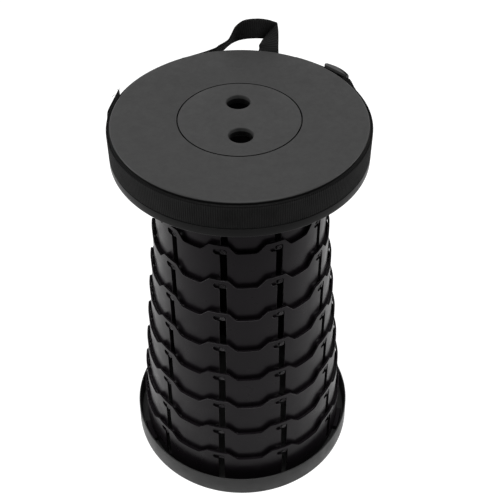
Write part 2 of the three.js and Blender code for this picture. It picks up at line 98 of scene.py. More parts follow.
def node_span(name):
    """Lowest and highest corner of a CAD node in millimetres."""
    low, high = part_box(name)
    return low / MM, high / MM


SEAT_TOP = node_span("seat_shell")[1].z
SKIRT_BOTTOM = node_span("seat_shell")[0].z
LIP_RADIUS = node_span("seat_shell")[1].x
BAND_BOTTOM = node_span("strap_band")[0].z
BAND_TOP = node_span("strap_band")[1].z
TRAY_FOOT_RADIUS = node_span("base_tray")[1].x


class StoolSizes(bpy.types.PropertyGroup):
    """Sizes of the stool that the frame doesn't give."""

    base_ring_radius: bpy.props.FloatProperty(
        name="Base ring radius", description="Outer radius of the largest ring",
        default=120.8 * MM, unit="LENGTH")
    ring_pitch: bpy.props.FloatProperty(
        name="Ring pitch", description="How much smaller each ring is than the one outside it",
        default=4.45 * MM, unit="LENGTH")
    ring_wall: bpy.props.FloatProperty(
        name="Ring wall", description="Thickness of a ring's wall",
        default=1.8 * MM, unit="LENGTH")
    pin_radius: bpy.props.FloatProperty(
        name="Pin radius", description="Radius of a guide pin",
        default=3.4 * MM, unit="LENGTH")
    webbing_width: bpy.props.FloatProperty(
        name="Webbing width", description="Width of the strap",
        default=24.5 * MM, unit="LENGTH")
    webbing_thickness: bpy.props.FloatProperty(
        name="Webbing thickness", description="Thickness of the strap",
        default=1.8 * MM, unit="LENGTH")
    lid_radius: bpy.props.FloatProperty(
        name="Lid radius", description="Radius of the lift-out lid",
        default=60 * MM, unit="LENGTH")
    finger_hole_radius: bpy.props.FloatProperty(
        name="Finger hole radius", description="Radius of the two holes in the lid",
        default=12 * MM, unit="LENGTH")


class StoolColours(bpy.types.PropertyGroup):
    """Colours of the stool's finishes."""

    seat: bpy.props.FloatVectorProperty(
        name="Seat", description="Grained plastic of the seat", subtype="COLOR",
        min=0, max=1, default=(0.0345, 0.0345, 0.0345))
    # The seat's side colour is painted shade: the same moulding as the plate, made far darker where it faces
    # sideways or down.
    seat_side: bpy.props.FloatVectorProperty(
        name="Seat's side", description="Seat's edge and lip in smoother plastic, with painted shade", subtype="COLOR",
        min=0, max=1, default=(0.004, 0.004, 0.004))
    lid: bpy.props.FloatVectorProperty(
        name="Lid", description="Grained plastic of the lid", subtype="COLOR",
        min=0, max=1, default=(0.037, 0.037, 0.037))
    ring: bpy.props.FloatVectorProperty(
        name="Rings", description="Satin plastic of the rings", subtype="COLOR",
        min=0, max=1, default=(0.0056, 0.0046, 0.0056))
    # The ring edges' colour is a painted highlight: paler than the rings so that every rim looks lit.
    ring_edge: bpy.props.FloatVectorProperty(
        name="Ring edges", description="Painted highlight on the rings' edges", subtype="COLOR",
        min=0, max=1, default=(0.032, 0.030, 0.032))
    tray: bpy.props.FloatVectorProperty(
        name="Tray", description="Plastic of the base tray", subtype="COLOR",
        min=0, max=1, default=(0.0195, 0.0195, 0.0195))
    webbing: bpy.props.FloatVectorProperty(
        name="Webbing", description="Ribbed strap", subtype="COLOR",
        min=0, max=1, default=(0.0135, 0.0135, 0.0135))
    slider: bpy.props.FloatVectorProperty(
        name="Slider", description="Plastic of the strap's adjuster", subtype="COLOR",
        min=0, max=1, default=(0.04, 0.04, 0.04))
    rubber: bpy.props.FloatVectorProperty(
        name="Rubber", description="Mat under the tray", subtype="COLOR",
        min=0, max=1, default=(0.012, 0.012, 0.012))
    steel: bpy.props.FloatVectorProperty(
        name="Screws", description="Plated steel of the screws", subtype="COLOR",
        min=0, max=1, default=(0.42, 0.42, 0.43))


def around(angle, radius, height):
    """A point in metres at this angle from the front, with radius and height in millimetres."""
    turn = math.radians(angle)
    return Vector((radius * math.sin(turn), -radius * math.cos(turn), height)) * MM


def to_degrees(length, radius):
    """The angle that a length covers along a circle."""
    return math.degrees(length / radius)


def ring_radius(number):
    """Outer radius of a ring in millimetres; number 0 is the base ring."""
    sizes = bpy.context.scene.stool_sizes
    return (sizes.base_ring_radius - number * sizes.ring_pitch) / MM


# Materials


class Nodes:
    """A node tree under construction."""

    def __init__(self, tree):
        self.tree = tree

    def node(self, kind, **settings):
        made = self.tree.nodes.new(kind)
        for key, value in settings.items():
            setattr(made, key, value)
        return made

    def link(self, source, target):
        self.tree.links.new(source, target)

    def math(self, operation, first, second=0):
        made = self.node("ShaderNodeMath", operation=operation)
        for index, value in enumerate((first, second)):
            if isinstance(value, (int, float)):
                made.inputs[index].default_value = value
            else:
                self.link(value, made.inputs[index])
        return made.outputs["Value"]


class Surface(Nodes):
    """A material under construction: its nodes and the links between them."""

    def __init__(self, name, colour, roughness, specular, metallic=0.0):
        self.material = bpy.data.materials.new(name)
        self.material.use_nodes = True
        super().__init__(self.material.node_tree)
        self.colour = (*colour, 1)
        self.shader = self.tree.nodes["Principled BSDF"]
        for socket, value in (("Base Color", self.colour), ("Roughness", roughness),
                              ("Specular IOR Level", specular), ("Metallic", metallic)):
            self.shader.inputs[socket].default_value = value

    def noise(self, scale, detail):
        made = self.node("ShaderNodeTexNoise")
        made.inputs["Scale"].default_value = scale
        made.inputs["Detail"].default_value = detail
        self.link(self.node("ShaderNodeTexCoord").outputs["Object"], made.inputs["Vector"])
        return made.outputs["Fac"]

    def spread(self, value, low, high, start=0.3, end=0.7):
        """Turns a value between start and end, where most of a noise lies, into one between low and high."""
        made = self.node("ShaderNodeMapRange")
        for socket, number in (("From Min", start), ("From Max", end), ("To Min", low), ("To Max", high)):
            made.inputs[socket].default_value = number
        self.link(value, made.inputs["Value"])
        return made.outputs["Result"]

    def tint(self, amount):
        """Multiplies the base colour by a varying amount."""
        made = self.node("ShaderNodeMix", data_type="RGBA", blend_type="MULTIPLY")
        made.inputs["Factor"].default_value = 1
        made.inputs["A"].default_value = self.colour
        self.link(amount, made.inputs["B"])
        self.link(made.outputs["Result"], self.shader.inputs["Base Color"])

    def roughen(self, value):
        self.link(value, self.shader.inputs["Roughness"])

    def bump(self, height, strength, distance):
        made = self.node("ShaderNodeBump")
        made.inputs["Strength"].default_value = strength
        made.inputs["Distance"].default_value = distance
        self.link(height, made.inputs["Height"])
        self.link(made.outputs["Normal"], self.shader.inputs["Normal"])


def worn_finish(name, colour, look, mottle, wear, grain):
    """A surface from its roughness, gloss and metal, with how its colour and roughness vary, and its grain.

    The last three give a noise's scale and detail, and then its low and high, or its strength and depth.
    """
    surface = Surface(name, colour, *look)
    surface.tint(surface.spread(surface.noise(*mottle[:2]), *mottle[2:]))
    surface.roughen(surface.spread(surface.noise(*wear[:2]), *wear[2:]))
    surface.bump(surface.noise(*grain[:2]), *grain[2:])
    return surface


def make_grained_plastic(name, colour):
    """Spark-eroded grain of the seat and lid, with faint handling marks."""
    surface = Surface(name, colour, 0.6, 0.09)
    marks = surface.spread(surface.noise(250, 3), 0.93, 1.07)
    surface.tint(surface.math("MULTIPLY", surface.spread(surface.noise(38, 4), 0.98, 1.02), marks))
    surface.roughen(surface.spread(surface.noise(90, 3), 0.52, 0.68))
    surface.bump(surface.math("ADD", surface.noise(1900, 2), surface.noise(720, 2)), 0.3, 0.00012)


def make_side_plastic(name, colour):
    """Smoother plastic for the seat's edge and lip, with marks from handling; the side's dark colour is
    painted shade.
    """
    worn_finish(name, colour, (0.36, 0.075), (30, 3, 0.9, 1.1), (70, 4, 0.32, 0.42), (1400, 2, 0.15, 0.0001))


def make_ring_plastic(name, colour):
    """Satin moulding of the rings: nearly black, lit by what it reflects."""
    surface = worn_finish(name, colour, (0.3, 0.075), (25, 3, 0.85, 1.15), (60, 4, 0.26, 0.36),
                          (1400, 2, 0.12, 0.0001))
    surface.shader.inputs["Specular Tint"].default_value = (1, 0.92, 1, 1)


def make_ring_edges(name, colour):
    """Rounded edges of the rings, painted a little paler than their faces as a highlight along the rims."""
    worn_finish(name, colour, (0.4, 0.25), (45, 4, 0.75, 1.25), (90, 3, 0.34, 0.5), (1400, 2, 0.12, 0.0001))


def make_tray_plastic(name, colour):
    """Plain satin moulding of the tray and the slider."""
    worn_finish(name, colour, (0.4, 0.2), (30, 3, 0.92, 1.08), (70, 3, 0.38, 0.52), (1500, 2, 0.2, 0.0001))


def make_rubber(name, colour):
    worn_finish(name, colour, (0.85, 0.3), (80, 4, 0.8, 1.2), (120, 3, 0.75, 0.95), (900, 3, 0.4, 0.0002))


def make_plated_steel(name, colour):
    worn_finish(name, colour, (0.35, 0.5, 1.0), (400, 3, 0.85, 1.1), (900, 3, 0.28, 0.5),
                (2500, 2, 0.15, 0.00005))


def make_webbing_cloth(name, colour):
    """Ribs across the strap with yarns along them, with painted shade in the grooves and along the
    selvedges. The strap's map is in metres, along and across.
    """
    rib_pitch = 0.0021
    yarn_pitch = 0.00085
    surface = Surface(name, colour, 0.85, 0.03)
    place = surface.node("ShaderNodeUVMap", uv_map="along").outputs["UV"]
    split = surface.node("ShaderNodeSeparateXYZ")
    surface.link(place, split.inputs["Vector"])
    rib, yarn = (surface.math("SINE", surface.math("MULTIPLY", split.outputs[axis], 2 * math.pi / pitch))
                 for axis, pitch in (("X", rib_pitch), ("Y", yarn_pitch)))
    weave = surface.math("ADD", rib, surface.math("MULTIPLY", yarn, 0.35))
    fuzz = surface.noise(1500, 3)
    surface.bump(surface.math("ADD", weave, surface.math("MULTIPLY", fuzz, 1.2)), 0.7, 0.00022)
    # The colour follows the ribs: painted shade in the grooves and painted highlight on the crests, times a
    # random tone.
    shade = surface.math("MULTIPLY", surface.spread(rib, 0.75, 1.28, -1, 1),
                         surface.spread(surface.noise(55, 3), 0.85, 1.2))
    # Painted shade along the selvedges: the webbing's edges are darkened to about a third, so its top edge
    # stays dark under the top light.
    selvedge = surface.spread(surface.math("ABSOLUTE", split.outputs["Y"]), 1, 0.35, 0.0116, 0.0121)
    surface.tint(surface.math("MULTIPLY", shade, selvedge))
    surface.roughen(surface.spread(fuzz, 0.75, 0.95))
    surface.shader.inputs["Sheen Weight"].default_value = 0.02
    surface.shader.inputs["Sheen Roughness"].default_value = 0.5


FINISHES = {
    "seat_plastic": ("seat", make_grained_plastic),
    "seat_side": ("seat_side", make_side_plastic),
    "seat_edge": ("seat", make_side_plastic),
    "lid_plastic": ("lid", make_grained_plastic),
    "ring_plastic": ("ring", make_ring_plastic),
    "ring_edge": ("ring_edge", make_ring_edges),
    "tray_plastic": ("tray", make_tray_plastic),
    "webbing": ("webbing", make_webbing_cloth),
    "slider_plastic": ("slider", make_tray_plastic),
    "mat_rubber": ("rubber", make_rubber),
    "screw_steel": ("steel", make_plated_steel),
}


def finish_for(slot):
    """The material of a slot in the record, made once."""
    name = f"{slot}_finish"
    if name not in bpy.data.materials:
        colour_name, make = FINISHES[slot]
        make(name, tuple(getattr(bpy.context.scene.stool_colours, colour_name)))
    return bpy.data.materials[name]


# Mesh building


def add_object(name, data):
    made = bpy.data.objects.new(name, data)
    bpy.context.scene.collection.objects.link(made)
    return made


def place_piece(name, mesh, slot, body, replaced=(), smooth_angle=38):
    """Puts a mesh in the scene as a piece of the stool."""
    mesh.polygons.foreach_set("use_smooth", [True] * len(mesh.polygons))
    mesh.set_sharp_from_angle(angle=math.radians(smooth_angle))
    mesh.materials.append(finish_for(slot))
    piece = add_object(name, mesh)
    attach(piece, body)
    if replaced:
        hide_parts(*replaced)
    return piece


def mesh_from(name, bm):
    bmesh.ops.recalc_face_normals(bm, faces=bm.faces)
    mesh = bpy.data.meshes.new(name)
    bm.to_mesh(mesh)
    bm.free()
    return mesh


def add_bevel(piece, width, angle=35, segments=2, edge=None):
    """Rounds a piece's sharp edges, which catch the light and may have a finish of their own, such as a
    painted highlight.
    """
    bevel = piece.modifiers.new("rounded edges", "BEVEL")
    bevel.width = width * MM
    bevel.segments = segments
    bevel.limit_method = "ANGLE"
    bevel.angle_limit = math.radians(angle)
    bevel.use_clamp_overlap = True
    bevel.harden_normals = True
    if edge:
        piece.data.materials.append(finish_for(edge))
        bevel.material = 1


def rounded(corners, steps=5):
    """Replaces each corner (x, y, radius) of a closed outline by an arc."""
    points = []
    count = len(corners)
    for index, (x, y, radius) in enumerate(corners):
        here = Vector((x, y))
        if radius <= 0:
            points.append((x, y))
            continue
        before = (Vector(corners[index - 1][:2]) - here).normalized()
        after = (Vector(corners[(index + 1) % count][:2]) - here).normalized()
        half = before.angle(after) / 2
        reach = radius / math.tan(half)
        centre = here + (before + after).normalized() * (radius / math.sin(half))
        start = here + before * reach - centre
        end = here + after * reach - centre
        turn = start.angle_signed(end)
        for step in range(steps + 1):
            spoke = start.copy()
            spoke.rotate(Matrix.Rotation(-turn * step / steps, 2))
            points.append(tuple(centre + spoke))
    return points


def join_loops(bm, first, second):
    """Faces between two closed loops. Where a loop is one point at the axis, they are triangles."""
    faces = []
    for i in range(len(first)):
        j = (i + 1) % len(first)
        corners = list(dict.fromkeys((first[i], first[j], second[j], second[i])))
        if len(corners) > 2:
            faces.append(bm.faces.new(corners))
    return faces


def join_sections(bm, sections):
    """A solid through these loops, closed at both ends."""
    for first, second in zip(sections, sections[1:]):
        join_loops(bm, first, second)
    bm.faces.new(list(reversed(sections[0])))
    bm.faces.new(sections[-1])


def fill_flat(bm, loops):
    """The flat face inside the first loop and round the others."""
    edges = []
    for loop in loops:
        edges += [bm.edges.get((loop[i], loop[(i + 1) % len(loop)])) for i in range(len(loop))]
    bmesh.ops.triangle_fill(bm, use_beauty=True, use_dissolve=True, edges=edges)


def lathe(bm, outline, segments, close=True):
    """Turns an outline of (radius, height) in millimetres about the axis."""
    loops = []
    for radius, height in outline:
        if radius < TINY:
            loops.append([bm.verts.new((0, 0, height * MM))] * segments)
        else:
            loops.append([bm.verts.new(around(360 * s / segments, radius, height))
                          for s in range(segments)])
    if close and outline[0][0] > TINY:
        loops.append(loops[0])
    for low, high in zip(loops, loops[1:]):
        join_loops(bm, low, high)


def add_peg(bm, angle, height, outline, segments=22):
    """A round boss that stands out of a wall. Its outline is (peg radius, distance from the axis)."""
    across = around(angle + 90, 1, 0)
    out = around(angle, 1, 0)
    up = Vector((0, 0, MM))
    turns = [2 * math.pi * s / segments for s in range(segments)]
    loops = []
    for radius, distance in outline:
        centre = out * distance + up * height
        if radius < TINY:
            loops.append([bm.verts.new(centre)] * segments)
        else:
            loops.append([bm.verts.new(centre + across * (radius * math.cos(turn))
                                       + up * (radius * math.sin(turn))) for turn in turns])
    for low, high in zip(loops, loops[1:]):
        join_loops(bm, low, high)


def slot_shape(radius):
    """A ring's millimetres per degree, half its slot's width, and the middles of hook and slot on a tab."""
    per_degree = math.radians(1) * radius
    half = bpy.context.scene.stool_sizes.pin_radius / MM + PIN_CLEARANCE
    latch = LATCH_ANGLE * per_degree
    return per_degree, half, latch, latch + LATCH_REACH


def wall_outline(radius, height, slot_foot):
    """One period of a ring's wall laid flat, with its tab, slope, valley and hooked slot."""
    per_degree, half, latch, middle = slot_shape(radius)
    left = (SLOPE_END_ANGLE + VALLEY_ANGLE / 2 - PERIOD_ANGLE) * per_degree
    right = left + PERIOD_ANGLE * per_degree
    head = height - PIN_DROP
    valley = height - VALLEY_DEPTH
    slope_start = (SLOPE_END_ANGLE + VALLEY_ANGLE - PERIOD_ANGLE) * per_degree
    top = [(right, valley, 0), (SLOPE_END_ANGLE * per_degree, valley, VALLEY_ROUNDING),
           (TAB_ANGLE * per_degree, height, TAB_ROUNDING), (0, height, TAB_ROUNDING),
           (slope_start, valley, VALLEY_ROUNDING), (left, valley, 0)]
    hook_rounding, head_rounding = half * 0.97, half * 0.8
    hook = [(middle - half, head - half, HOOK_CORNER), (latch - half, head - half, hook_rounding),
            (latch - half, head + half, hook_rounding), (middle + half, head + half, head_rounding)]
    if slot_foot > 0:
        slot = [(middle + half, slot_foot, SLOT_CORNER), (middle - half, slot_foot, SLOT_CORNER)]
        return rounded([(left, 0, 0), (right, 0, 0), *top]), rounded([*hook, *slot])
    outline = [(left, 0, 0), (middle - half, 0, 0), *hook, (middle + half, 0, 0), (right, 0, 0), *top]
    return rounded(outline), None


def flat_wall(outline, hole, cut_every):
    """Faces of one period in the flat, cut into upright strips so that they bend smoothly."""
    bm = bmesh.new()
    edges = []
    for loop in (outline, hole):
        if loop is None:
            continue
        verts = [bm.verts.new((x, 0, z)) for x, z in loop]
        edges += [bm.edges.new((verts[i], verts[(i + 1) % len(verts)])) for i in range(len(verts))]
    bmesh.ops.triangle_fill(bm, use_beauty=True, use_dissolve=False, edges=edges)
    low = min(v.co.x for v in bm.verts)
    high = max(v.co.x for v in bm.verts)
    strips = max(2, round((high - low) / cut_every))
    for strip in range(1, strips):
        place = low + (high - low) * strip / strips
        bmesh.ops.bisect_plane(bm, geom=bm.verts[:] + bm.edges[:] + bm.faces[:], dist=1e-5,
                               plane_co=(place, 0, 0), plane_no=(1, 0, 0))
    bmesh.ops.dissolve_limit(bm, angle_limit=0.001, use_dissolve_boundaries=False,
                             verts=bm.verts[:], edges=[e for e in bm.edges if not is_strip_edge(e)])
    return bm


def is_strip_edge(edge):
    """True for an upright edge, which keeps the bend smooth."""
    return abs(edge.verts[0].co.x - edge.verts[1].co.x) < 1e-4


def wrap_wall(radius, wall, outline, hole):
    """Bends the flat wall round the axis, repeats it and gives it thickness."""
    flat = flat_wall(outline, hole, STRIP_WIDTH)
    flat.verts.index_update()
    places = [(v.co.x, v.co.z) for v in flat.verts]
    faces = [[v.index for v in f.verts] for f in flat.faces]
    flat.free()
    bm = bmesh.new()
    made = {}

    def corner(period, index):
        x, z = places[index]
        angle = (PATTERN_START + period * PERIOD_ANGLE + to_degrees(x, radius)) % 360
        key = (round(angle, 3) % 360, round(z, 3))
        if key not in made:
            made[key] = tuple(bm.verts.new(around(angle, r, z)) for r in (radius, radius - wall))
        return made[key]

    rims = {}
    for period in range(PERIODS):
        for face in faces:
            corners = [corner(period, index) for index in face]
            bm.faces.new([c[0] for c in corners])
            bm.faces.new([c[1] for c in reversed(corners)])
            for a, b in zip(corners, corners[1:] + corners[:1]):
                key = frozenset((a[0], b[0]))
                rims[key] = None if key in rims else (a, b)
    for pair in rims.values():
        if pair:
            a, b = pair
            bm.faces.new((b[0], a[0], a[1], b[1]))
    return bm


def add_shoes(bm, radius, wall, reach):
    """Guide shoes at a ring's foot, one to each tab, low where the slot passes, with a bead between."""
    per_degree, half, latch, middle = slot_shape(radius)
    inner = radius - wall
    hook_end = latch - half - 2 * SHOE_MARGIN
    slope_end = SLOPE_END_ANGLE * per_degree
    parts = [(0, SHOE_PAD_START, inner, SHOE_SILL),
             (SHOE_PAD_START, hook_end, inner, SHOE_HEIGHT),
             (hook_end, middle - half - SHOE_MARGIN, inner, SHOE_HEIGHT),
             (middle - half, middle + half, radius, SHOE_SILL),
             (middle + half, slope_end, inner, SHOE_SILL),
             (slope_end, PERIOD_ANGLE * per_degree, radius - wall / 2, FOOT_BEAD)]
    for period in range(PERIODS):
        for start, end, back, height in parts:
            chamfer = min(SHOE_CHAMFER, height / 3)
            face = radius + reach
            outline = [(back, 0), (face - chamfer, 0), (face, chamfer), (face, height - chamfer),
                       (face - chamfer, height), (back, height)]
            steps = max(1, round((end - start) / STRIP_WIDTH))
            sections = []
            for step in range(steps + 1):
                place = start + (end - start) * step / steps
                angle = PATTERN_START + period * PERIOD_ANGLE + to_degrees(place, radius)
                sections.append([bm.verts.new(around(angle, r, z)) for r, z in outline])
            join_sections(bm, sections)


def add_pins(bm, radius, root, foot=0.0):
    """Guide pins with a dished face and a raised middle, standing in the slots of the next ring out."""
    sizes = bpy.context.scene.stool_sizes
    outer = radius + sizes.ring_pitch / MM
    per_degree, _, _, middle = slot_shape(outer)
    tip = outer - PIN_TIP_GAP
    dish, rounding, rim, middle_radius = 0.5, 0.45, 0.9, 0.5
    shank = sizes.pin_radius / MM - 0.5
    outline = [(0, root), (shank, root), (shank, tip - dish), (shank - rounding / 3, tip - 0.15),
               (shank - rounding, tip), (shank - rim, tip), (shank - rim - 0.3, tip - dish + 0.05),
               (middle_radius + 0.3, tip - dish), (middle_radius, tip - 0.1), (0, tip - 0.1)]
    for period in range(PERIODS):
        angle = PATTERN_START + period * PERIOD_ANGLE + middle / per_degree
        add_peg(bm, angle, foot + PIN_RISE, outline)


def build_ring(number):
    """A sliding ring with its shoes and pins, or the base ring for number 0."""
    sizes = bpy.context.scene.stool_sizes
    node = "base_ring" if number == 0 else f"column_ring_{number}"
    body = "base" if number == 0 else f"ring_{number}"
    low, high = node_span(node)
    height = high.z - low.z
    radius = ring_radius(number)
    wall = sizes.ring_wall / MM
    half_slot = sizes.pin_radius / MM + PIN_CLEARANCE
    slot_foot = height - PIN_DROP - RING_TRAVEL - half_slot if number == 0 else 0
    bm = wrap_wall(radius, wall, *wall_outline(radius, height, slot_foot))
    if number:
        add_shoes(bm, radius, wall, sizes.ring_pitch / MM - wall - SHOE_CLEARANCE)
        add_pins(bm, radius, radius + 0.1)
    else:
        add_screw_feet(bm, radius, radius - wall / 2)
    bmesh.ops.translate(bm, verts=bm.verts, vec=(0, 0, low.z * MM))
    piece = place_piece(f"{node}_look", mesh_from(node, bm), "ring_plastic", body, (node,))
    # The bevel faces take the ring edges' colour, a painted highlight along every rim and slot edge.
    add_bevel(piece, 0.7, 35, 3, "ring_edge")


def add_screw_feet(bm, radius, root):
    """Screw feet of the base ring, under the valleys."""
    reach, height, chamfer, steps = 5.7, 6, 1, 8
    outline = [(root, 0), (radius + reach, 0), (radius + reach, height - chamfer),
               (radius + reach - chamfer, height), (root, height)]
    for foot in range(SCREW_COUNT):
        start = PATTERN_START + foot * 360 / SCREW_COUNT + SLOPE_END_ANGLE
        join_sections(bm, [[bm.verts.new(around(start + VALLEY_ANGLE * step / steps, r, z))
                            for r, z in outline] for step in range(steps + 1)])


def build_seat_shell():
    """The seat moulding with its well, rounded edge, strap seat, lip and ribs."""
    well = bpy.context.scene.stool_sizes.lid_radius / MM + WELL_INSET
    plate = SEAT_TOP - SEAT_PLATE
    ledge = SEAT_TOP - LID_PLATE - SEATING_GAP
    ledge_width, ledge_thickness, well_wall = 6.4, 2.2, 2.2
    skirt_inner = 122.6
    strap_seat = 126.2
    plate_edge, edge_rounding = 124.8, 1.6
    lip_top = BAND_BOTTOM - SEATING_GAP
    step = BAND_TOP + SEATING_GAP
    profile = rounded([
        (well, SEAT_TOP, 0.2), (well, ledge, 0.3), (well - ledge_width, ledge, 0.4),
        (well - ledge_width, ledge - ledge_thickness, 0.4), (well + well_wall, ledge - ledge_thickness, 0.4),
        (well + well_wall, plate, 0.5), (skirt_inner, plate, 1.2), (skirt_inner, SKIRT_BOTTOM, 0.5),
        (LIP_RADIUS, SKIRT_BOTTOM, 1.6), (LIP_RADIUS, lip_top, 0.5), (strap_seat, lip_top, 0.2),
        (strap_seat, step, 0.2), (plate_edge, step, 0.2), (plate_edge, SEAT_TOP, edge_rounding),
    ], 5)
    bm = bmesh.new()
    lathe(bm, profile, 200)
    bmesh.ops.recalc_face_normals(bm, faces=bm.faces)
    side, edge = 1, 2
    # The side and the well are smoother than the plate, and their colour is far darker than the plate's:
    # painted shade on the faces that face sideways or down. The rounded edge has the plate's colour and the
    # side's gloss.
    for face in bm.faces:
        middle = face.calc_center_median()
        distance = math.hypot(middle.x, middle.y) / MM
        below = middle.z < plate * MM
        if distance > plate_edge - edge_rounding - 0.1 and (face.normal.z < 0.99 or below):
            face.material_index = side if face.normal.z < 0.45 or below else edge
        elif distance < well + 0.1 and middle.z < (SEAT_TOP - 0.25) * MM:
            face.material_index = side
    rib_count, rib_start, rib_end, rib_depth, rib_half, buried = 6, 82.55, 123.4, 3.6, 1.0, 0.6
    for rib in range(rib_count):
        add_rib(bm, 360 / rib_count * rib, rib_start, rib_end, plate - rib_depth, plate + buried, rib_half)
    piece = place_piece("seat_shell_look", mesh_from("seat_shell", bm), "seat_plastic", "seat",
                        ("seat_shell",))
    piece.data.materials.append(finish_for("seat_side"))
    piece.data.materials.append(finish_for("seat_edge"))


def add_rib(bm, angle, start, end, low, high, half):
    """A straight upright rib that runs outwards."""
    out = around(angle, 1, 0)
    across = around(angle + 90, 1, 0)
    up = Vector((0, 0, MM))
    corners = ((-half, low), (half, low), (half, high), (-half, high))
    join_sections(bm, [[bm.verts.new(out * distance + across * side + up * height)
                        for side, height in corners] for distance in (start, end)])


def circle_loop(bm, centre, radius, height, segments):
    turns = [2 * math.pi * s / segments for s in range(segments)]
    return [bm.verts.new(((centre[0] + radius * math.cos(turn)) * MM,
                          (centre[1] + radius * math.sin(turn)) * MM, height * MM)) for turn in turns]


def build_lid():
    """The lift-out lid: a disc with two rounded finger holes and a locating lip below."""
    sizes = bpy.context.scene.stool_sizes
    radius = sizes.lid_radius / MM - LID_INSET
    hole = sizes.finger_hole_radius / MM
    hole_line, hole_distance = 2.3, 27.5
    collar, collar_foot, rounding = 1.6, 9.5, 0.3
    lip, lip_wall, lip_depth = radius - 6.1, 2, 3.4
    # Both lists run down from the top: how deep, and how far in from the rim or out from the hole.
    rim_steps = [(0, 0.2), (0.06, 0.06), (0.2, 0), (LID_PLATE - rounding, 0), (LID_PLATE, rounding)]
    hole_steps = [(0, 1.1), (0.1, 0.65), (0.35, 0.3), (0.7, 0.1), (1.2, 0), (4.4, 0),
                  (collar_foot - rounding, 0), (collar_foot, rounding), (collar_foot, collar - rounding),
                  (collar_foot - rounding, collar), (LID_PLATE, collar)]
    bm = bmesh.new()
    walls = [[circle_loop(bm, (0, 0), radius - cut, SEAT_TOP - depth, 160) for depth, cut in rim_steps]]
    for angle in (hole_line, hole_line + 180):
        centre = around(angle, hole_distance, 0) / MM
        walls.append([circle_loop(bm, centre, hole + cut, SEAT_TOP - depth, 64)
                      for depth, cut in hole_steps])
    for loops in walls:
        for high, low in zip(loops, loops[1:]):
            join_loops(bm, high, low)
    for end in (0, -1):
        fill_flat(bm, [loops[end] for loops in walls])
    bottom = SEAT_TOP - LID_PLATE
    lathe(bm, rounded([(lip - lip_wall, bottom + 0.3, 0), (lip - lip_wall, bottom - lip_depth, 0.4),
                       (lip, bottom - lip_depth, 0.4), (lip, bottom + 0.3, 0)], 3), 160)
    # The rim, the finger holes' walls and the lip below take the seat's side colour: painted shade, far
    # darker than the top.
    smooth_below = SEAT_TOP - 5
    for face in bm.faces:
        middle = face.calc_center_median()
        if middle.z < smooth_below * MM or math.hypot(middle.x, middle.y) > (radius - 0.05) * MM:
            face.material_index = 1
    piece = place_piece("seat_lid_look", mesh_from("seat_lid", bm), "lid_plastic", "lid", ("seat_lid",), 30)
    piece.data.materials.append(finish_for("seat_side"))


def build_sleeve():
    """The sleeve under the seat with its flange, shoe and pins."""
    low, high = node_span("seat_sleeve")
    radius = ring_radius(RING_COUNT + 1)
    wall = bpy.context.scene.stool_sizes.ring_wall / MM
    inner = radius - wall
    shoe = radius + 1.68
    shoe_top = low.z + SHOE_HEIGHT
    flange = inner - 13
    flange_foot = high.z - 2.4
    bm = bmesh.new()
    lathe(bm, rounded([
        (inner, low.z, 0.3), (shoe, low.z, 0.5), (shoe, shoe_top, 0.5), (radius, shoe_top, 0.4),
        (radius, high.z, 0.3), (flange, high.z, 0.3), (flange, flange_foot, 0.3), (inner, flange_foot, 0.8),
    ], 3), 160)
    add_pins(bm, radius, radius - wall / 2, low.z)
    place_piece("seat_sleeve_look", mesh_from("seat_sleeve", bm), "ring_plastic", "seat", ("seat_sleeve",))


def build_tray():
    """The base tray: a thin flared wall with a rolled rim and a flat floor."""
    low, high = node_span("base_tray")
    inner, wall = 129.5, 1.7
    floor_bottom, floor_top = 2.2, 4.6
    skirt = TRAY_FOOT_RADIUS - wall
    profile = rounded([
        (0, floor_bottom, 0), (skirt, floor_bottom, 0.4), (skirt, low.z, 0.3),
        (TRAY_FOOT_RADIUS, low.z, 0.6), (inner + wall, high.z, 0.7), (inner, high.z, 0.7),
        (inner, floor_top, 1.5), (0, floor_top, 0)], 4)
    bm = bmesh.new()
    lathe(bm, profile, 200, close=False)
    place_piece("base_tray_look", mesh_from("base_tray", bm), "tray_plastic", "base", ("base_tray",))


def build_mat():
    """The anti-slip mat: a disc with rounded edges and fine rings pressed into its underside."""
    low, high = node_span("foot_mat")
    radius, edge = 115.0, 0.5
    groove_pitch, groove_depth, groove_width, groove_slope = 8, 0.6, 2.4, 0.6
    plain_margin, plain_middle = 6, 12
    profile = [(0, high.z), (radius - edge, high.z), (radius, high.z - edge), (radius, low.z + edge),
               (radius - edge, low.z)]
    groove = radius - plain_margin
    while groove > plain_middle:
        profile += [(groove, low.z), (groove - groove_slope, low.z + groove_depth),
                    (groove - groove_width + groove_slope, low.z + groove_depth),
                    (groove - groove_width, low.z)]
        groove -= groove_pitch
    profile.append((0, low.z))
    bm = bmesh.new()
    lathe(bm, profile, 120, close=False)
    place_piece("foot_mat_look", mesh_from("foot_mat", bm), "mat_rubber", "base", ("foot_mat",))


def build_screws(prefix, body):
    """Round-headed screws with a dished recess and a pointed end."""
    head, head_height, shank = 3.1, 1.6, 1.5
    recess, recess_depth = 0.9, 0.5
    point, point_length = 0.4, 0.8
    for number in range(1, SCREW_COUNT + 1):
        node = f"{prefix}_{number}"
        low, high = node_span(node)
        foot, tip = low.z, high.z
        bm = bmesh.new()
        lathe(bm, [(0, foot + recess_depth), (recess, foot + recess_depth), (recess + 0.3, foot),
                   (head - 0.6, foot + 0.15), (head - 0.05, foot + 0.7), (head, foot + head_height),
                   (shank, foot + head_height), (shank, tip - point_length), (point, tip), (0, tip)],
              28, close=False)
        centre = (low + high) / 2
        bmesh.ops.translate(bm, verts=bm.verts, vec=(centre.x * MM, centre.y * MM, 0))
        place_piece(f"{node}_look", mesh_from(node, bm), "screw_steel", body, (node,))


# Webbing


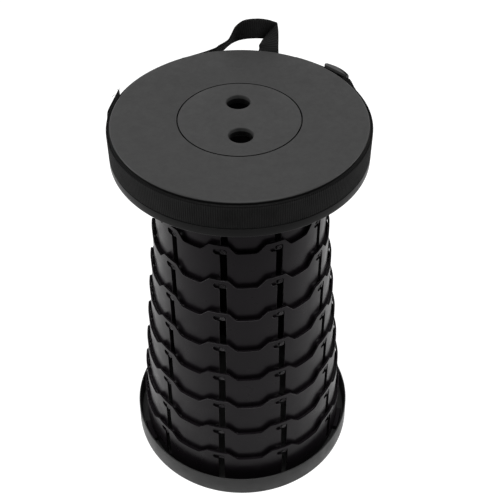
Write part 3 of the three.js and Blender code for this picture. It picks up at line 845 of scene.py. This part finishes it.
def neighbours(points, index):
    """The four points that shape a smooth curve from this one to the next."""
    last = len(points) - 1
    return points[max(index - 1, 0)], points[index], points[index + 1], points[min(index + 2, last)]


def spline(a, b, c, d, t):
    return 0.5 * (2 * b + (c - a) * t + (2 * a - 5 * b + 4 * c - d) * t ** 2
                  + (3 * b - a - 3 * c + d) * t ** 3)


def smooth_path(edges, steps):
    """Pairs of edge points, with more pairs put between them along a smooth curve."""
    dense = []
    for index in range(len(edges) - 1):
        keys = neighbours(edges, index)
        for step in range(steps):
            dense.append(tuple(spline(*(key[side] for key in keys), step / steps) for side in (0, 1)))
    dense.append(edges[-1])
    return dense


def ribbon(bm, edges, extra_width=0.0):
    """Webbing through pairs of edge points, with rounded selvedges and a map in metres."""
    sizes = bpy.context.scene.stool_sizes
    width = sizes.webbing_width + extra_width
    half = sizes.webbing_thickness / 2
    layer = bm.loops.layers.uv.get("along") or bm.loops.layers.uv.new("along")
    selvedge = half * 0.9 / width
    upper = [(0, 0.35), (selvedge, 0.95), *((step / 8, 1) for step in range(1, 8)), (1 - selvedge, 0.95),
             (1, 0.35)]
    section = upper + [(t, -side) for t, side in reversed(upper)]
    rows = []
    length = 0.0
    middles = [(a + b) / 2 for a, b in edges]
    for index, (left, right) in enumerate(edges):
        ahead = middles[min(index + 1, len(middles) - 1)]
        behind = middles[max(index - 1, 0)]
        normal = (ahead - behind).cross(right - left).normalized()
        if index:
            length += (middles[index] - middles[index - 1]).length
        row = [bm.verts.new(left.lerp(right, t) + normal * (half * side)) for t, side in section]
        rows.append((row, length))
    for (a, start), (b, end) in zip(rows, rows[1:]):
        for i, face in enumerate(join_loops(bm, a, b)):
            low, high = section[i][0], section[(i + 1) % len(section)][0]
            for loop, (u, t) in zip(face.loops, ((start, low), (start, high), (end, high), (end, low))):
                loop[layer].uv = (u, (t - 0.5) * width)
    for row, place in (rows[0], rows[-1]):
        face = bm.faces.new(row)
        for loop, (t, _) in zip(face.loops, section):
            loop[layer].uv = (place, (t - 0.5) * width)


def webbing_thickness():
    """Thickness of the webbing in millimetres."""
    return bpy.context.scene.stool_sizes.webbing_thickness / MM


def layer_radius(layer):
    """Radius of the middle of the first or the second layer of webbing on the seat."""
    return STRAP_INNER + webbing_thickness() * (layer - 0.5) + SEATING_GAP * (layer - 1)


def upright(angle, radius, top=BAND_TOP):
    """Edge points of webbing that stands upright against the seat."""
    return around(angle, radius, BAND_BOTTOM), around(angle, radius, top)


BAND_START = 269.5
BAND_STEP = 2.5
LAP_START = -92
LAP_ANGLE = 7
BAND_STAND = 0.05
TAIL_STEP = 1.9
TAIL_STRAIGHT_FROM = -101.3


def build_band():
    """The webbing round the seat; its cut end laps over the hidden one and is a little frayed."""
    first, second = layer_radius(1), layer_radius(2)
    top = BAND_TOP + BAND_RISE
    edges = []
    angle = BAND_START
    while angle > LAP_START:
        edges.append(upright(angle, first + BAND_STAND, top))
        angle -= BAND_STEP
    for step in range(5):
        t = step / 4
        ease = t * t * (3 - 2 * t)
        stand = BAND_STAND + (second - first) * ease
        edges.append(upright(LAP_START - LAP_ANGLE * t, first + stand, top))
    for step in range(1, 9):
        angle = LAP_START - LAP_ANGLE - TAIL_STEP * step
        beyond = math.radians(max(0, TAIL_STRAIGHT_FROM - angle))
        edges.append(upright(angle, (second + 2 * BAND_STAND) / math.cos(beyond), top))
    bm = bmesh.new()
    ribbon(bm, edges, BAND_RISE * MM)
    place_piece("strap_band_look", mesh_from("strap_band", bm), "webbing", "seat", ("strap_band",), 50)
    build_frayed_end(edges[-2], edges[-1])


# Loose threads of the cut end, as millimetres ahead of it, outwards and upwards from its upper corner.
LOOSE_THREADS = [
    [(-0.8, 0.0, 0.0), (0.5, 0.2, 0.5), (1.4, 0.0, 0.8), (2.1, -0.5, 1.2)],
    [(-0.8, 0.5, -0.6), (0.6, 0.8, -0.2), (1.8, 1.6, 0.1), (2.6, 2.8, -0.2)],
    [(-8.5, 0.4, -0.3), (-7.8, 1.6, -0.2), (-8.2, 3.2, -0.9), (-9.4, 4.4, -2.4)],
]


def build_frayed_end(before, last):
    """Short loose yarns at the webbing's cut end and three longer loose threads."""
    yarns, yarn_radius, thread_radius = 34, 0.2, 0.22
    rng = random.Random(11)
    along = ((last[0] + last[1]) / 2 - (before[0] + before[1]) / 2).normalized()
    out = Vector((along.y, -along.x, 0))
    if out.dot((last[0] + last[1]) / 2) < 0:
        out.negate()
    bm = bmesh.new()
    for index in range(yarns):
        t = (index + rng.random() * 0.8) / yarns
        start = last[0].lerp(last[1], min(0.99, t)) + out * rng.uniform(-0.6, 0.6) * MM - along * 0.6 * MM
        reach = rng.uniform(0.8, 2.2) * MM
        bend = Vector((rng.uniform(-1, 1), rng.uniform(-1, 1), rng.uniform(-1, 1))) * 0.35 * MM
        thread_tube(bm, [start, start + along * reach * 0.6 + bend, start + along * reach + bend * 2],
                    yarn_radius)
    top = last[0].lerp(last[1], 0.97)
    for steps in LOOSE_THREADS:
        thread_tube(bm, [top + (along * ahead + out * aside + Vector((0, 0, rise))) * MM
                         for ahead, aside, rise in steps], thread_radius)
    place_piece("strap_frayed_end", mesh_from("strap_frayed_end", bm), "webbing", "seat")


def thread_tube(bm, points, radius, sides=5):
    """A thin round yarn through these points."""
    dense = [spline(*neighbours(points, index), step / 4) for index in range(len(points) - 1)
             for step in range(4)]
    dense.append(points[-1])
    turns = [2 * math.pi * s / sides for s in range(sides)]
    sections = []
    for index, point in enumerate(dense):
        ahead = dense[min(index + 1, len(dense) - 1)] - dense[max(index - 1, 0)]
        first = ahead.orthogonal().normalized()
        second = ahead.cross(first).normalized()
        sections.append([bm.verts.new(point + (first * math.cos(turn) + second * math.sin(turn))
                                      * radius * MM) for turn in turns])
    join_sections(bm, sections)


SLIDER_ANGLE = 130.5
SLIDER_LENGTH = 30.0
SLIDER_HEIGHT = 31.6
SLIDER_THICKNESS = 2.6
SLIDER_END_BAR = 3.5
SLIDER_MIDDLE_BAR = 4.6
SLIDER_RAIL = 3.2
SLIDER_STAND = 1.8
SLIDER_LEAN = 0.08
RAIL_RISE = 0.6


def slider_place(along, distance, height):
    """A point along, out from and up the slider's own plane in millimetres; its front end leans out."""
    leaning = distance + SLIDER_LEAN * (SLIDER_LENGTH / 2 - along)
    return (around(SLIDER_ANGLE + 90, along, 0) + around(SLIDER_ANGLE, leaning, 0)
            + Vector((0, 0, height * MM)))


# The lead where it lies on the band: degrees from the slider's middle, and how far out it is.
LEAD_START = [(-19.0, -2.0), (-17.0, -1.5), (-15.2, -0.6), (-13.5, 0.25)]
LEAD_END = [(13.5, 0.25), (18, 0.25), (22.0, 0.25)]


def build_lead():
    """Webbing threaded behind the slider's end bars and over its middle bar."""
    second = layer_radius(2)
    distance = STRAP_INNER + webbing_thickness() + SLIDER_STAND
    over = distance + SLIDER_THICKNESS + SEATING_GAP + webbing_thickness() / 2
    behind = second * math.cos(math.radians(4.5))
    end = SLIDER_LENGTH / 2
    bar = SLIDER_MIDDLE_BAR / 2
    turn = (SLIDER_MIDDLE_BAR + SLIDER_LENGTH - 2 * SLIDER_END_BAR) / 4
    between = (over + behind) / 2
    threaded = [(-end - 4, behind + 0.5), (-end + SLIDER_END_BAR / 2, behind + 0.4), (-turn, between),
                (-bar, over), (bar, over), (turn, between), (end - SLIDER_END_BAR, behind + 0.3),
                (end, behind + 0.35)]
    start, finish = ([upright(SLIDER_ANGLE + offset, second + out) for offset, out in part]
                     for part in (LEAD_START, LEAD_END))
    middle = [(slider_place(a, d, BAND_BOTTOM), slider_place(a, d, BAND_TOP)) for a, d in threaded]
    bm = bmesh.new()
    ribbon(bm, smooth_path(start + middle + finish, 5))
    place_piece("strap_lead_look", mesh_from("strap_lead", bm), "webbing", "seat", ("strap_lead",), 50)


def soft_rectangle(left, right, half_height, rounding, steps):
    return rounded([(left, -half_height, rounding), (right, -half_height, rounding),
                    (right, half_height, rounding), (left, half_height, rounding)], steps)


def build_slider():
    """The three-bar slider: a frame with two windows between bowed rails, with soft edges."""
    centre = (BAND_BOTTOM + BAND_TOP) / 2
    distance = STRAP_INNER + webbing_thickness() + SLIDER_STAND
    end = SLIDER_LENGTH / 2
    half_height = SLIDER_HEIGHT / 2
    rail_foot = half_height - SLIDER_RAIL
    window = (SLIDER_LENGTH - 2 * SLIDER_END_BAR - SLIDER_MIDDLE_BAR) / 2
    outlines = [soft_rectangle(-end, end, half_height - RAIL_RISE, 3, 6)]
    for side in (-1, 1):
        middle = side * (SLIDER_MIDDLE_BAR + window) / 2
        outlines.append(soft_rectangle(middle - window / 2, middle + window / 2, rail_foot, 1, 4))
    bm = bmesh.new()
    walls = [[[bm.verts.new(slider_place(x, distance + depth, centre + y)) for x, y in points]
              for depth in (0, SLIDER_THICKNESS)] for points in outlines]
    for back, front in walls:
        join_loops(bm, back, front)
    for level in (0, 1):
        fill_flat(bm, [pair[level] for pair in walls])
    far = distance + SLIDER_THICKNESS + 1.5
    for near, low, high in ((distance - 1.2, rail_foot, half_height),
                            (distance - 0.9, -half_height, -rail_foot)):
        plan = rounded([(-end, near, 1.6), (end, near, 1.2), (end, far - 1.8, 2.2), (5, far + 0.2, 40),
                        (-6, far + 0.4, 40), (-end, far - 3.0, 3.5)], 6)
        join_sections(bm, [[bm.verts.new(slider_place(x, d, centre + y)) for x, d in plan]
                           for y in (low, high)])
    piece = place_piece("strap_slider_look", mesh_from("strap_slider", bm), "slider_plastic", "seat",
                        ("strap_slider",))
    add_bevel(piece, 1.0, 50, 3)


# The loop's edges, the lower one first, as shares of the webbing's width across, back and up from the
# middle of the band's back.
LOOP_RISE_SHARES = [
    ((-0.826, 0.706, 0.013), (-1.108, -0.037, 0.621)), ((-0.665, 0.769, 0.105), (-0.85, 0.029, 0.752)),
    ((-0.494, 0.857, 0.233), (-0.606, 0.09, 0.865)), ((-0.333, 0.91, 0.336), (-0.426, 0.151, 0.979)),
    ((-0.176, 0.824, 0.47), (-0.293, 0.192, 1.237)), ((0.037, 0.631, 0.658), (-0.134, 0.233, 1.559)),
    ((0.338, 0.443, 0.829), (0.229, 0.294, 1.812)), ((0.7, 0.467, 0.836), (0.774, 0.396, 1.83)),
    ((0.945, 0.659, 0.721), (1.237, 0.518, 1.71)), ((1.111, 0.92, 0.561), (1.671, 0.641, 1.492)),
]
LOOP_FALL_SHARES = [
    LOOP_RISE_SHARES[-1], ((0.999, 0.678, 0.541), (1.717, 0.437, 1.226)),
    ((0.891, 0.516, 0.453), (1.723, 0.192, 0.904)), ((0.895, 0.455, 0.319), (1.716, -0.033, 0.615)),
]
LOOP_ROOT_ANGLES = (-152.5, -157)
LOOP_LEG_ANGLE = 166.5


def build_loop():
    """The carrying loop behind the seat: it twists up off the band, folds over and falls back."""
    width = bpy.context.scene.stool_sizes.webbing_width
    second = layer_radius(2)
    corner = Vector((0, (STRAP_INNER + webbing_thickness()) * MM, (BAND_BOTTOM + BAND_TOP) / 2 * MM))

    def leg(height, stand):
        out = around(LOOP_LEG_ANGLE, second + stand, height)
        across = around(LOOP_LEG_ANGLE + 90, 1, 0).normalized() * width / 2
        return out + across, out - across

    rise, fall = ([tuple(corner + Vector(shares) * width for shares in pair) for pair in pairs]
                  for pairs in (LOOP_RISE_SHARES, LOOP_FALL_SHARES))
    root = [upright(angle, second + 0.2) for angle in LOOP_ROOT_ANGLES]
    bm = bmesh.new()
    ribbon(bm, smooth_path(root + rise, 7))
    ribbon(bm, smooth_path([*fall, leg(434, 3), leg(BAND_BOTTOM, 0.2)], 6))
    place_piece("strap_loop_look", mesh_from("strap_loop", bm), "webbing", "seat", ("strap_loop",), 50)


# Stage

CAMERA_DISTANCE = 727.33 * MM
CAMERA_HEIGHT = 963.59 * MM
CAMERA_PITCH = 43.425
CAMERA_YAW = 0.772
CAMERA_ROLL = -0.1
CAMERA_FOCAL = 917.1
PHOTO_SIDE = 500
# Each light's name, place, the place that it points to, sides in metres and power in watts.
LIGHTS = [
    ("top_light", (0, -0.5, 2.1), (0, 0, 0.4), (1.3, 1.3), 36.6),
    ("left_light", (-1.7, 0.1, 0.9), (0, 0, 0.25), (0.8, 1.4), 19.5),
    ("right_light", (1.7, 0.15, 0.9), (0, 0, 0.25), (0.9, 1.4), 14.5),
]
FLOOR_GREY = 0.3
FLOOR_WHITE = 0.88
WORLD_LIGHT = 0.12
WORLD_WHITE = 0.9


def build_camera():
    """The camera at the photograph's viewpoint."""
    pitch, yaw, roll = (math.radians(a) for a in (CAMERA_PITCH, CAMERA_YAW, CAMERA_ROLL))
    forward = Vector((math.sin(yaw) * math.cos(pitch), math.cos(yaw) * math.cos(pitch), -math.sin(pitch)))
    right = forward.cross(Vector((0, 0, 1))).normalized()
    up = right.cross(forward)
    rolled_right = right * math.cos(roll) + up * math.sin(roll)
    rolled_up = up * math.cos(roll) - right * math.sin(roll)
    data = bpy.data.cameras.new("photo_camera")
    data.sensor_width = 36
    data.lens = CAMERA_FOCAL / PHOTO_SIDE * data.sensor_width
    data.clip_start = 0.01
    camera = add_object("photo_camera", data)
    turn = Matrix((rolled_right, rolled_up, -forward)).transposed().to_4x4()
    camera.matrix_world = Matrix.Translation((0, -CAMERA_DISTANCE, CAMERA_HEIGHT)) @ turn
    bpy.context.scene.camera = camera


def add_area_light(name, place, target, sides, power):
    data = bpy.data.lights.new(name, "AREA")
    data.shape = "RECTANGLE"
    data.size, data.size_y = sides
    data.energy = power
    light = add_object(name, data)
    light.location = place
    light.rotation_euler = (Vector(target) - Vector(place)).to_track_quat("-Z", "Y").to_euler()


def add_white(nodes, shader_output, strength):
    """Adds white for the camera and for reflections to a lit shader, which keeps its shadows."""
    path = nodes.node("ShaderNodeLightPath")
    seen = path.outputs["Is Camera Ray"]
    for ray in ("Is Glossy Ray", "Is Transmission Ray"):
        seen = nodes.math("MAXIMUM", seen, path.outputs[ray])
    white = nodes.node("ShaderNodeEmission")
    nodes.link(nodes.math("MULTIPLY", seen, strength), white.inputs["Strength"])
    add = nodes.node("ShaderNodeAddShader")
    nodes.link(shader_output, add.inputs[0])
    nodes.link(white.outputs["Emission"], add.inputs[1])
    return add.outputs["Shader"]


def build_floor():
    """A plain white floor that keeps a faint shadow."""
    bm = bmesh.new()
    bmesh.ops.create_grid(bm, x_segments=1, y_segments=1, size=6)
    mesh = mesh_from("floor", bm)
    surface = Surface("floor_white", (FLOOR_GREY,) * 3, 0.9, 0.1)
    surface.link(add_white(surface, surface.shader.outputs["BSDF"], FLOOR_WHITE),
                 surface.tree.nodes["Material Output"].inputs["Surface"])
    mesh.materials.append(surface.material)
    add_object("floor", mesh)


def build_world():
    """A soft even light from all round, white where it is seen."""
    world = bpy.data.worlds.new("studio")
    bpy.context.scene.world = world
    world.use_nodes = True
    nodes = Nodes(world.node_tree)
    background = nodes.tree.nodes["Background"]
    background.inputs["Color"].default_value = (1, 1, 1, 1)
    background.inputs["Strength"].default_value = WORLD_LIGHT
    nodes.link(add_white(nodes, background.outputs["Background"], WORLD_WHITE),
               nodes.tree.nodes["World Output"].inputs["Surface"])


# Operators


class BuildOperator(bpy.types.Operator):
    """Shared manner of the stool's build steps."""

    bl_options = {"REGISTER", "UNDO"}


class STOOL_OT_tray(BuildOperator):
    """Build the base tray"""

    bl_idname = "stool.tray"
    bl_label = "Tray"

    def execute(self, context):
        build_tray()
        return {"FINISHED"}


class STOOL_OT_mat(BuildOperator):
    """Build the mat under the tray"""

    bl_idname = "stool.mat"
    bl_label = "Mat"

    def execute(self, context):
        build_mat()
        return {"FINISHED"}


class STOOL_OT_rings(BuildOperator):
    """Build the base ring and the rings that slide in it"""

    bl_idname = "stool.rings"
    bl_label = "Rings"

    def execute(self, context):
        for number in range(RING_COUNT + 1):
            build_ring(number)
        return {"FINISHED"}


class STOOL_OT_sleeve(BuildOperator):
    """Build the sleeve under the seat"""

    bl_idname = "stool.sleeve"
    bl_label = "Sleeve"

    def execute(self, context):
        build_sleeve()
        return {"FINISHED"}


class STOOL_OT_seat(BuildOperator):
    """Build the seat moulding"""

    bl_idname = "stool.seat"
    bl_label = "Seat"

    def execute(self, context):
        build_seat_shell()
        return {"FINISHED"}


class STOOL_OT_lid(BuildOperator):
    """Build the lift-out lid"""

    bl_idname = "stool.lid"
    bl_label = "Lid"

    def execute(self, context):
        build_lid()
        return {"FINISHED"}


class STOOL_OT_screws(BuildOperator):
    """Build the screws of the base ring and the sleeve"""

    bl_idname = "stool.screws"
    bl_label = "Screws"

    def execute(self, context):
        build_screws("base_screw", "base")
        build_screws("seat_screw", "seat")
        return {"FINISHED"}


class STOOL_OT_band(BuildOperator):
    """Build the webbing round the seat"""

    bl_idname = "stool.band"
    bl_label = "Strap round the seat"

    def execute(self, context):
        build_band()
        return {"FINISHED"}


class STOOL_OT_lead(BuildOperator):
    """Build the webbing threaded through the slider"""

    bl_idname = "stool.lead"
    bl_label = "Strap through the slider"

    def execute(self, context):
        build_lead()
        return {"FINISHED"}


class STOOL_OT_slider(BuildOperator):
    """Build the strap's adjuster"""

    bl_idname = "stool.slider"
    bl_label = "Slider"

    def execute(self, context):
        build_slider()
        return {"FINISHED"}


class STOOL_OT_loop(BuildOperator):
    """Build the carrying loop"""

    bl_idname = "stool.loop"
    bl_label = "Carrying loop"

    def execute(self, context):
        build_loop()
        return {"FINISHED"}


class STOOL_OT_stage(BuildOperator):
    """Set up the floor, the light and the camera"""

    bl_idname = "stool.stage"
    bl_label = "Stage"

    def execute(self, context):
        build_camera()
        build_floor()
        build_world()
        for light in LIGHTS:
            add_area_light(*light)
        context.scene.view_settings.view_transform = "Standard"
        return {"FINISHED"}


class STOOL_PT_panel(bpy.types.Panel):
    """Lists the stool's build steps"""

    bl_idname = "STOOL_PT_panel"
    bl_label = "Telescopic stool"
    bl_space_type = "VIEW_3D"
    bl_region_type = "UI"
    bl_category = "Stool"

    def draw(self, context):
        column = self.layout.column()
        for step in STEPS:
            column.operator(step.bl_idname)
        for group in (context.scene.stool_sizes, context.scene.stool_colours):
            for name in type(group).__annotations__:
                column.prop(group, name)


STEPS = (STOOL_OT_tray, STOOL_OT_mat, STOOL_OT_rings, STOOL_OT_sleeve, STOOL_OT_seat, STOOL_OT_lid,
         STOOL_OT_screws, STOOL_OT_band, STOOL_OT_lead, STOOL_OT_slider, STOOL_OT_loop, STOOL_OT_stage)
CLASSES = (StoolSizes, StoolColours, *STEPS, STOOL_PT_panel)


def register():
    for made in CLASSES:
        bpy.utils.register_class(made)
    bpy.types.Scene.stool_sizes = bpy.props.PointerProperty(type=StoolSizes)
    bpy.types.Scene.stool_colours = bpy.props.PointerProperty(type=StoolColours)


def unregister():
    del bpy.types.Scene.stool_colours
    del bpy.types.Scene.stool_sizes
    for made in reversed(CLASSES):
        bpy.utils.unregister_class(made)


def main():
    register()
    bpy.ops.stool.tray()
    bpy.ops.stool.mat()
    bpy.ops.stool.rings()
    bpy.ops.stool.sleeve()
    bpy.ops.stool.seat()
    bpy.ops.stool.lid()
    bpy.ops.stool.screws()
    bpy.ops.stool.band()
    bpy.ops.stool.lead()
    bpy.ops.stool.slider()
    bpy.ops.stool.loop()
    bpy.ops.stool.stage()


if __name__ == "__main__":
    main()
